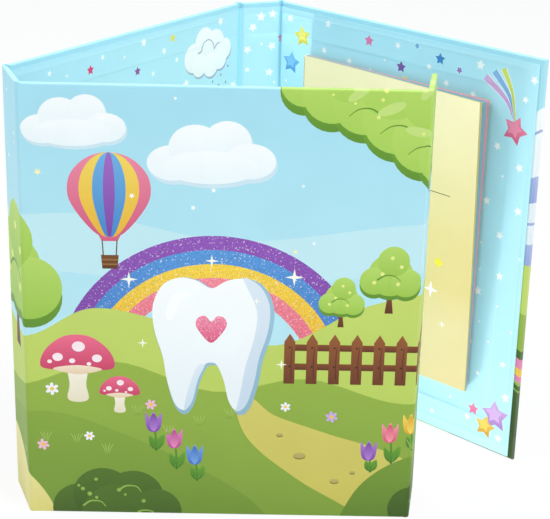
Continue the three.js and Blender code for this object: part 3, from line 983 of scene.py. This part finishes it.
def build_hinge(name):
    """The outer paper of a hinge, bent round the fold and turned in at its two ends."""
    hinge = HINGES[name]
    panel = PANELS[hinge.panel]
    left, right = hinge.fold_x - SETBACK, hinge.fold_x + SETBACK
    columns = between(right, left, HINGE_COLUMNS)
    sheet = cover_paper(name + "_paper", panel.strip, left, right, left, columns=columns)
    pinch(sheet, hinge.fold_x)
    bend(sheet, hinge)
    return completed(sheet, HINGE_PAPER, panel.place)


def build_groove(name):
    """The liner where it dips into the hinge between two panels."""
    hinge = HINGES[name]
    left, right = hinge.fold_x - SETBACK, hinge.fold_x + SETBACK
    window = (left, LINER_FOOT, right, COVER_HEIGHT - LINER_INSET)
    inside = GROOVE_FIT * HINGE_BEND / math.tan(math.radians(hinge.fold) / 2)
    deepest = PANEL - min(inside, GROOVE_DEPTH)

    def place(x, z):
        slope = clamp((abs(x - hinge.fold_x) / SETBACK - HINGE_FLAT) / (1.0 - HINGE_FLAT))
        return (x, deepest * (0.5 + 0.5 * math.cos(math.pi * slope)) - PANEL, z)

    prints = [liner_base(window), *GROOVE_PRINT.get(name, [])]
    columns = between(left, right, GROOVE_COLUMNS)
    sheet = printed_sheet(name + "_groove", window, prints, place, columns=columns)
    # Painted shade along the fold
    paint_fold_shade(sheet, hinge)
    bend(sheet, hinge)
    return completed(sheet, LINER, PANELS[hinge.panel].place, SHARP_FOLD)


# Liners


def ridge_depth(inset):
    """How deep the liner lies there: it rises over the edges of the turned-in paper."""
    before, level = 0.0, 0.0
    for place, depth in RIDGES:
        if inset < place:
            return level + (depth - level) * (inset - before) / (place - before)
        before, level = place, depth
    return level


def build_liner(name, seed):
    """The liner of one panel, with the turned-in paper showing through as ridges."""
    panel = PANELS[name]
    left, right = span(panel, LINER_INSET)
    window = (left, LINER_FOOT, right, COVER_HEIGHT - LINER_INSET)
    insets = [inset for inset, _ in RIDGES]
    rows = [*insets, *(COVER_HEIGHT - i for i in insets)]
    end = {"start": panel.x0, "end": panel.x1}.get(panel.free)
    inwards = 1 if panel.free == "start" else -1
    columns, creases = [], []
    if panel.free:
        columns = [end + inwards * i for i in insets]
        for z, up in ((0.0, 1), (COVER_HEIGHT, -1)):
            creases.append([(end + inwards * i, z + up * i) for i in (LINER_INSET, insets[-1])])

    def place(x, z):
        inset = min(z, COVER_HEIGHT - z)
        if panel.free:
            inset = min(inset, abs(x - end))
        return (x, ridge_depth(inset) - PANEL, z)

    prints = scatter(window, seed, FORE_EDGE_GAP if name == "fore_edge" else STAR_GAP, LINER_PRINT[name])
    prints = [liner_base(window), *prints]
    sheet = printed_sheet(name + "_lining", window, prints, place, rows, columns, creases)
    return completed(sheet, LINER, panel.place)


# Notepad


def leaf_share(x, z):
    """Where a point of a leaf lies across the pad and up it, from 0 to 1."""
    across = (x - PAD_LEFT) / (PAD_RIGHT - PAD_LEFT)
    up = (z - PAD_BOTTOM) / (PAD_TOP - PAD_BOTTOM)
    return clamp(across), clamp(up)


def leaf_spread(x, z):
    """The pad is a little wider at its head, where the leaves have slid apart."""
    _, up = leaf_share(x, z)
    return LEAF_LEFT + (x - LEAF_LEFT) * (1.0 + HEAD_SPREAD * up)


def leaf_depth(x, z, depth, lift):
    """A leaf's distance from the panel's outer face: pressed flat below, fanned open above."""
    across, up = leaf_share(x, z)
    pressed = 1.0 - PRESSED * across**PRESSED_ACROSS * (1.0 - up)
    return CARD_FACE + (depth - CARD_FACE) * pressed + lift * across**LIFT_ACROSS * up**LIFT_UP


def build_leaf(depth, lift, right, top):
    """One thin leaf of the pad."""
    bpy.ops.object.select_all(action="DESELECT")
    bpy.ops.mesh.primitive_grid_add(x_subdivisions=LEAF_COLUMNS, y_subdivisions=LEAF_ROWS, size=1.0)
    sheet = bpy.context.object
    for vertex in sheet.data.vertices:
        z = PAD_BOTTOM + (vertex.co.y + 0.5) * (top - PAD_BOTTOM)
        x = leaf_spread(LEAF_LEFT + (vertex.co.x + 0.5) * (right - LEAF_LEFT), z)
        vertex.co = (x, -leaf_depth(x, z, depth, lift), z)
    thicken(sheet, LEAF_THICK)
    return sheet


def build_leaves(name, order, lift, short, seed):
    """A section of coloured leaves, each a thin sheet with edges that don't quite meet its neighbour's."""
    rng = random.Random(seed)
    back = CARD_FACE + LEAF_GAP + order * (SECTION + LEAF_GAP)
    leaves = []
    for i in range(SECTION_LEAVES):
        depth = back + SECTION * (i + LEAF_SEAT) / SECTION_LEAVES
        raised = lift[0] + (lift[1] - lift[0]) * i / (SECTION_LEAVES - 1)
        right = PAD_RIGHT - short + rng.uniform(*LEAF_STRAY)
        top = PAD_TOP - short + rng.uniform(*LEAF_STRAY)
        leaves.append(build_leaf(depth, raised, right, top))
    take(leaves[0])
    for sheet in leaves[1:]:
        sheet.select_set(True)
    bpy.ops.object.join()
    stack = bpy.context.object
    stack.name = name
    round_shading(stack)
    set_in_place(stack, PAD_PLACE)
    return stack


def build_card():
    """The card that the leaves lie on, cut a little smaller than they are."""
    low = Vector((PAD_LEFT, -CARD_FACE, PAD_BOTTOM))
    high = Vector((PAD_RIGHT - CARD_SHORT, -PANEL - GLUE, PAD_TOP - CARD_SHORT))
    bpy.ops.object.select_all(action="DESELECT")
    bpy.ops.mesh.primitive_cube_add(size=1.0)
    card = bpy.context.object
    card.name = "pad_card_cut"
    for vertex in card.data.vertices:
        vertex.co = [low[k] + (vertex.co[k] + 0.5) * (high[k] - low[k]) for k in range(3)]
    apply_modifier(card, "BEVEL", width=CARD_BEVEL, segments=2)
    round_shading(card)
    set_in_place(card, PAD_PLACE)
    return card


# The page's yellow at each height, with painted shade in a darker band about its middle and painted light on
# its paler top; its sparkles, and the line to write on
PAGE_TONES_AND_SHADE = [(24, "#ebd59c"), (52, "#ecd79f"), (70, "#e7d08c"), (92, "#e8d290"), (155, "#f5e5b8")]
PAGE_STARS = [(97, 66.5, 4.0), (104, 52, 1.6), (40, 48, 3.2), (88, 138, 1.4)]
PAGE_DIAMONDS = [(100.5, 80, 2.6), (52, 40, 1.8), (36, 132, 2.2)]
PAGE_LINE = [(34, 111), (70, 111.1), (105, 111)]


def page_print():
    prints = []
    # The page's yellow runs darker about its middle and paler at its top: painted shade and painted light
    for (low, tone), (high, next_tone) in zip(PAGE_TONES_AND_SHADE, PAGE_TONES_AND_SHADE[1:]):
        prints.append(paint(box(PAD_LEFT, low, PAD_RIGHT + BLEED, high), tone, next_tone))
    prints.append(paint(ribbon(PAGE_LINE, 0.45, 0.35, 3), "#6b6142"))
    prints += stamped(sparkle(0.26, WHITE), *PAGE_STARS)
    return prints + stamped(sparkle(0.6, "#f6e23c"), *PAGE_DIAMONDS)


def build_top_leaf():
    """The loose top leaf, with a ruled line to write on and a few sparkles."""
    window = (LEAF_LEFT, PAD_BOTTOM, PAD_RIGHT, PAD_TOP)
    rows = between(PAD_BOTTOM, PAD_TOP, PAGE_ROWS)
    columns = between(LEAF_LEFT, PAD_RIGHT, PAGE_COLUMNS)
    depth = CARD_FACE + len(LIFTS) * (SECTION + LEAF_GAP) + LEAF_GAP + PAGE_PLAY

    def place(x, z):
        return (leaf_spread(x, z), -leaf_depth(x, z, depth, TOP_LIFT), z)

    sheet = printed_sheet("top_page", window, page_print(), place, rows, columns)
    return completed(sheet, PAGE_THICK, PAD_PLACE, SHARP_FOLD)


def softened(node, name, width):
    """A moulded or cut piece with its corners taken off, as thick and as long as it was."""
    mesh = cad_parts[node].data.copy()
    mesh.materials.clear()
    piece = bpy.data.objects.new(name, mesh)
    bpy.context.scene.collection.objects.link(piece)
    take(piece)
    bpy.ops.object.mode_set(mode="EDIT")
    bpy.ops.mesh.select_all(action="SELECT")
    bpy.ops.mesh.remove_doubles(threshold=MERGED)
    bpy.ops.mesh.dissolve_limited(angle_limit=math.radians(1))
    bpy.ops.object.mode_set(mode="OBJECT")
    corners = {"limit_method": "ANGLE", "angle_limit": math.radians(SHARP)}
    apply_modifier(piece, "BEVEL", width=width * MM, segments=2, **corners)
    round_shading(piece)
    return piece


# Finishes


class Finish:
    """A material with short words for adding and joining its nodes."""

    def __init__(self, name):
        self.material = bpy.data.materials.new(name)
        self.material.use_nodes = True
        self.tree = self.material.node_tree
        self.shader = self.tree.nodes["Principled BSDF"]
        self.spots = self.node("ShaderNodeTexCoord").outputs["Object"]

    def node(self, kind, **settings):
        made = self.tree.nodes.new(kind)
        for key, value in settings.items():
            setattr(made, key, value)
        return made

    def join(self, source, target):
        self.tree.links.new(source, target)

    def feed(self, socket, source):
        self.join(source, self.shader.inputs[socket])

    def set(self, **values):
        for key, value in values.items():
            self.shader.inputs[key.replace("_", " ")].default_value = value

    def printed(self):
        """The ink that a printed sheet keeps at its corners."""
        return self.node("ShaderNodeAttribute", attribute_name="ink").outputs["Color"]

    def texture(self, kind, scale, **settings):
        made = self.node(kind, **settings)
        made.inputs["Scale"].default_value = scale
        self.join(self.spots, made.inputs["Vector"])
        return made

    def noise(self, scale, detail=2.0):
        made = self.texture("ShaderNodeTexNoise", scale)
        made.inputs["Detail"].default_value = detail
        return made.outputs["Fac"]

    def spread(self, source, low, high):
        made = self.node("ShaderNodeMapRange")
        made.inputs["To Min"].default_value = low
        made.inputs["To Max"].default_value = high
        self.join(source, made.inputs["Value"])
        return made.outputs["Result"]

    def mix(self, parts, **settings):
        """A mix of a share and two colours, each a value or what another node gives."""
        made = self.node("ShaderNodeMix", data_type="RGBA", **settings)
        for part, i in zip(parts, (0, 6, 7)):
            if isinstance(part, bpy.types.NodeSocket):
                self.join(part, made.inputs[i])
            else:
                made.inputs[i].default_value = part
        return made.outputs[2]

    def toned(self, colour, share):
        """The colour darkened or lightened by a share that varies over the surface."""
        first = (*ink(colour), 1.0) if isinstance(colour, str) else colour
        return self.mix((1.0, first, share), blend_type="MULTIPLY")

    def bump(self, height, distance, strength, under=None):
        made = self.node("ShaderNodeBump")
        made.inputs["Distance"].default_value = distance
        made.inputs["Strength"].default_value = strength
        self.join(height, made.inputs["Height"])
        if under is not None:
            self.join(under, made.inputs["Normal"])
        return made.outputs["Normal"]


def ink_paper(name, ribs, rib_strength, grain, rough):
    """Printed paper: the ink of each face, a fine rib, paper grain and an uneven satin."""
    finish = Finish(name)
    fine = finish.noise(grain, 5.0)
    rib = finish.texture("ShaderNodeTexWave", ribs, bands_direction="Z")
    rib.inputs["Distortion"].default_value = 0.6
    cloudy = finish.toned(finish.printed(), finish.spread(finish.noise(55.0), 0.955, 1.02))
    finish.feed("Base Color", finish.toned(cloudy, finish.spread(rib.outputs["Fac"], 0.972, 1.0)))
    finish.feed("Roughness", finish.spread(fine, *rough))
    grainy = finish.bump(fine, 0.00003, 0.5)
    finish.feed("Normal", finish.bump(rib.outputs["Fac"], 0.00004, rib_strength, grainy))
    finish.set(Specular_IOR_Level=0.35)
    return finish.material


def glitter_ink(name):
    """Glitter over the ink: flakes that each lean their own way and catch the light in turn, and a few of
    them painted near white as painted glints.
    """
    finish = Finish(name)
    flakes = finish.texture("ShaderNodeTexVoronoi", 2900.0)
    tint = finish.node("ShaderNodeSeparateColor")
    finish.join(flakes.outputs["Color"], tint.inputs["Color"])
    # A few flakes are painted near white: painted glints
    glinting = finish.node("ShaderNodeMath", operation="GREATER_THAN")
    glinting.inputs[1].default_value = 0.965
    finish.join(tint.outputs["Green"], glinting.inputs[0])
    painted_glint = finish.spread(glinting.outputs["Value"], 0.0, 0.62)
    uneven = finish.toned(finish.printed(), finish.spread(tint.outputs["Red"], 0.82, 1.2))
    finish.feed("Base Color", finish.mix((painted_glint, uneven, (0.95, 0.93, 0.98, 1.0))))
    finish.feed("Roughness", finish.spread(tint.outputs["Blue"], 0.2, 0.6))
    finish.feed("Normal", finish.bump(tint.outputs["Blue"], 0.00012, 0.5))
    finish.set(Specular_IOR_Level=0.5)
    return finish.material


def plain_paper(name, colour, grain, rough):
    """Uncoated paper or board: felted fibres with a faint cloudiness."""
    finish = Finish(name)
    fibre = finish.noise(grain, 6.0)
    finish.feed("Base Color", finish.toned(colour, finish.spread(finish.noise(90.0), 0.93, 1.02)))
    finish.feed("Roughness", finish.spread(fibre, rough - 0.1, rough + 0.1))
    finish.feed("Normal", finish.bump(fibre, 0.00003, 0.6))
    finish.set(Specular_IOR_Level=0.25)
    return finish.material


def moulded_plastic(name, colour, rough):
    """Moulded tray plastic with a fine spark-eroded grain and flow marks."""
    finish = Finish(name)
    grain = finish.noise(2600.0)
    finish.feed("Base Color", finish.toned(colour, finish.spread(finish.noise(70.0), 0.96, 1.01)))
    finish.feed("Roughness", finish.spread(grain, rough - 0.08, rough + 0.12))
    finish.feed("Normal", finish.bump(grain, 0.00003, 0.4))
    finish.set(Specular_IOR_Level=0.5)
    return finish.material


def clear_plastic(name):
    """The lid's clear sheet, with faint scuffs from sliding in its grooves."""
    finish = Finish(name)
    finish.set(Base_Color=(*ink("#eef6f8"), 1.0), IOR=1.49)
    scuff = finish.noise(420.0, 4.0)
    finish.feed("Roughness", finish.spread(scuff, 0.03, 0.16))
    finish.feed("Alpha", finish.spread(scuff, 0.16, 0.3))
    return finish.material


def bright_steel(name):
    """Plated magnet steel with a turned grain."""
    finish = Finish(name)
    finish.set(Base_Color=(*ink("#c3c6c9"), 1.0), Metallic=1.0)
    grain = finish.noise(1800.0)
    finish.feed("Roughness", finish.spread(grain, 0.22, 0.4))
    finish.feed("Normal", finish.bump(grain, 0.00002, 0.3))
    return finish.material


CASE_PAPER = ink_paper("case_paper", 900.0, 0.35, 4200.0, (0.38, 0.56))
GLITTER = glitter_ink("glitter_ink")
LINER_PAPER = ink_paper("liner_paper", 900.0, 0.3, 3600.0, (0.34, 0.5))
PAGE_PAPER = ink_paper("page_paper", 700.0, 0.1, 3000.0, (0.6, 0.8))
LEAF_COLOURS = {"green": "#b4d9a2", "pink": "#f3c2cb", "blue": "#a9d5e6", "yellow": "#f4ebac"}
LEAF_PAPER = {name: plain_paper(name + "_leaf", tone, 3200.0, 0.75) for name, tone in LEAF_COLOURS.items()}
CARD = plain_paper("pad_card", "#e6e0cf", 2200.0, 0.85)
GUM = plain_paper("binding_gum", "#f1ede0", 1500.0, 0.45)
GREYBOARD = plain_paper("greyboard", "#98938a", 1400.0, 0.9)
TRAY_PLASTIC = moulded_plastic("tray_plastic", "#f3f3ef", 0.4)
LID_PLASTIC = clear_plastic("lid_plastic")
STEEL = bright_steel("magnet_steel")


# Pieces of the object


def finished(piece, slot, *materials):
    for material in materials:
        piece.data.materials.append(material)


def fitted(piece, body, node, slot, *materials):
    """Gives a piece its finish and the body that it moves with, and hides the solid that it stands for."""
    finished(piece, slot, *materials)
    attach(piece, body)
    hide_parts(node)


# Case: boards stay inside the wrap, and the liners close it
LINER_SEED = 40
for i, name in enumerate(PANELS):
    fitted(build_wrap(name), name, name + "_paper", "case_paper", CASE_PAPER, GLITTER)
    fitted(build_liner(name, LINER_SEED + i), name, name + "_liner", "liner_paper", LINER_PAPER)

# Hinges: outer paper and the liner's groove, each bent round the fold between its two panels
for name, hinge in HINGES.items():
    paper = build_hinge(name)
    finished(paper, "case_paper", CASE_PAPER, GLITTER)
    blend_over(paper, hinge, WRAPPED)
    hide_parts(name)
    groove = build_groove(name)
    finished(groove, "liner_paper", LINER_PAPER)
    blend_over(groove, hinge, PANEL)

# Notepad: the green leaves stay on the pad panel, and each other section turns by itself
LEAF_SEED = 60
for i, (colour, lift) in enumerate(LIFTS.items()):
    fixed = colour == "green"
    body = "pad_panel" if fixed else colour + "_leaves"
    leaves = build_leaves(colour + "_pages", i, lift, GREEN_SHORT if fixed else 0.0, LEAF_SEED + i)
    fitted(leaves, body, colour + "_leaves", colour + "_leaf", LEAF_PAPER[colour])
fitted(build_top_leaf(), "top_leaf", "top_leaf", "yellow_leaf", PAGE_PAPER)
gum = softened("pad_binding", "pad_binding_cut", GUM_BEVEL)
fitted(gum, "pad_panel", "pad_binding", "binding_gum", GUM)
fitted(build_card(), "pad_panel", "pad_card", "pad_card", CARD)

# Tooth tray
for node in list(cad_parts):
    if node.startswith("tray_"):
        part = softened(node, node + "_moulded", TRAY_BEVEL)
        if node == "tray_lid":
            fitted(part, "tray_lid", node, "lid_plastic", LID_PLASTIC)
        else:
            fitted(part, "back_cover", node, "tray_plastic", TRAY_PLASTIC)

# Boards and magnets keep the shape they were cut to
for node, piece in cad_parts.items():
    if node.endswith(("_board", "_magnet")):
        piece.data.materials.clear()
        piece.data.materials.append(GREYBOARD if node.endswith("_board") else STEEL)


# Studio: pale floor, soft light and the camera
FLOOR_SIZE = 6.0
FLOOR_GLOW = 0.87
FLOOR_GREY = (0.9, 0.9, 0.9, 1.0)
ROOM_COLOUR = (0.87, 0.965, 1.0, 1.0)
ROOM_STRENGTH = 0.66
LAMP_COLOUR = (1.0, 0.975, 0.95)
CAMERA_PLACE = (-0.489366, -0.412801, 0.323301)
CAMERA_TURN = (68.8828, -1.3246, -54.7670)
CAMERA_LENS = 104.357
CAMERA_SENSOR = 36.0


def seen_directly(tree):
    """One for rays that see a surface, in a mirror or through glass too, and none for its light."""
    path = tree.nodes.new("ShaderNodeLightPath")
    seen = path.outputs["Is Camera Ray"]
    for ray in ("Is Glossy Ray", "Is Transmission Ray"):
        either = tree.nodes.new("ShaderNodeMath")
        either.operation = "MAXIMUM"
        tree.links.new(seen, either.inputs[0])
        tree.links.new(path.outputs[ray], either.inputs[1])
        seen = either.outputs["Value"]
    return seen


def show_mixed(tree, share, first, second, output):
    mixed = tree.nodes.new("ShaderNodeMixShader")
    tree.links.new(share, mixed.inputs["Fac"])
    tree.links.new(first, mixed.inputs[1])
    tree.links.new(second, mixed.inputs[2])
    tree.links.new(mixed.outputs["Shader"], tree.nodes[output].inputs["Surface"])


def build_floor():
    """A wide pale card, which looks white and keeps the object's shadow."""
    bpy.ops.object.select_all(action="DESELECT")
    bpy.ops.mesh.primitive_plane_add(size=FLOOR_SIZE, location=(0, 0, 0))
    floor = bpy.context.object
    floor.name = "studio_floor"
    floor.visible_shadow = False
    finish = Finish("floor_card")
    finish.set(Base_Color=FLOOR_GREY, Roughness=0.9, Specular_IOR_Level=0.1)
    glow = finish.node("ShaderNodeEmission")
    glow.inputs["Color"].default_value = (1.0, 1.0, 1.0, 1.0)
    share = finish.node("ShaderNodeMath", operation="MULTIPLY")
    share.inputs[1].default_value = FLOOR_GLOW
    finish.join(seen_directly(finish.tree), share.inputs[0])
    lit = finish.shader.outputs["BSDF"]
    show_mixed(finish.tree, share.outputs["Value"], lit, glow.outputs["Emission"], "Material Output")
    floor.data.materials.append(finish.material)


def build_world():
    """Soft light from all round, and a white backdrop where it is seen."""
    world = bpy.data.worlds.new("studio")
    world.use_nodes = True
    bpy.context.scene.world = world
    tree = world.node_tree
    room = tree.nodes["Background"]
    room.inputs["Color"].default_value = ROOM_COLOUR
    room.inputs["Strength"].default_value = ROOM_STRENGTH
    backdrop = tree.nodes.new("ShaderNodeBackground")
    backdrop.inputs["Color"].default_value = (1.0, 1.0, 1.0, 1.0)
    backdrop.inputs["Strength"].default_value = 1.0
    sources = (room.outputs["Background"], backdrop.outputs["Background"])
    show_mixed(tree, seen_directly(tree), *sources, "World Output")


def lamp_at(kind, name, place, aim, power):
    bpy.ops.object.light_add(type=kind, location=place)
    lamp = bpy.context.object
    lamp.name = name
    lamp.rotation_euler = (Vector(aim) - Vector(place)).to_track_quat("-Z", "Y").to_euler()
    lamp.data.energy = power
    lamp.data.color = LAMP_COLOUR
    return lamp


def softbox(name, place, aim, size, power):
    lamp = lamp_at("AREA", name, place, aim, power)
    lamp.data.shape = "DISK"
    lamp.data.size = size
    lamp.visible_camera = False


def table_lamp(name, place, aim, cone, power):
    """A spot under the frosted table, as strong at the far end of the pad panel as at the near end."""
    lamp = lamp_at("SPOT", name, place, aim, power)
    lamp.visible_glossy = False
    lamp.data.spot_size = math.radians(cone)
    lamp.data.spot_blend = 0.4
    lamp.data.shadow_soft_size = 0.018
    lamp.data.use_nodes = True
    tree = lamp.data.node_tree
    falloff = tree.nodes.new("ShaderNodeLightFalloff")
    falloff.inputs["Strength"].default_value = 1.0
    tree.links.new(falloff.outputs["Constant"], tree.nodes["Emission"].inputs["Strength"])


def build_camera():
    bpy.ops.object.camera_add(location=CAMERA_PLACE)
    camera = bpy.context.object
    camera.name = "photo_camera"
    camera.rotation_euler = [math.radians(a) for a in CAMERA_TURN]
    camera.data.lens = CAMERA_LENS
    camera.data.sensor_width = CAMERA_SENSOR
    bpy.context.scene.camera = camera


build_floor()
build_world()
softbox("key_light", (-0.75, -0.62, 0.55), (0.0, -0.06, 0.08), 0.35, 0.3)
softbox("top_light", (-0.05, -0.5, 1.05), (0.02, -0.05, 0.1), 0.5, 6.9)
softbox("left_light", (-0.35, 0.5, 0.95), (0.05, -0.05, 0.12), 0.5, 3.6)
table_lamp("table_lamp", (0.04, -0.006, -0.19), (0.074, -0.105, 0.07), 54, 70.0)
build_camera()
bpy.context.scene.view_settings.view_transform = "Standard"
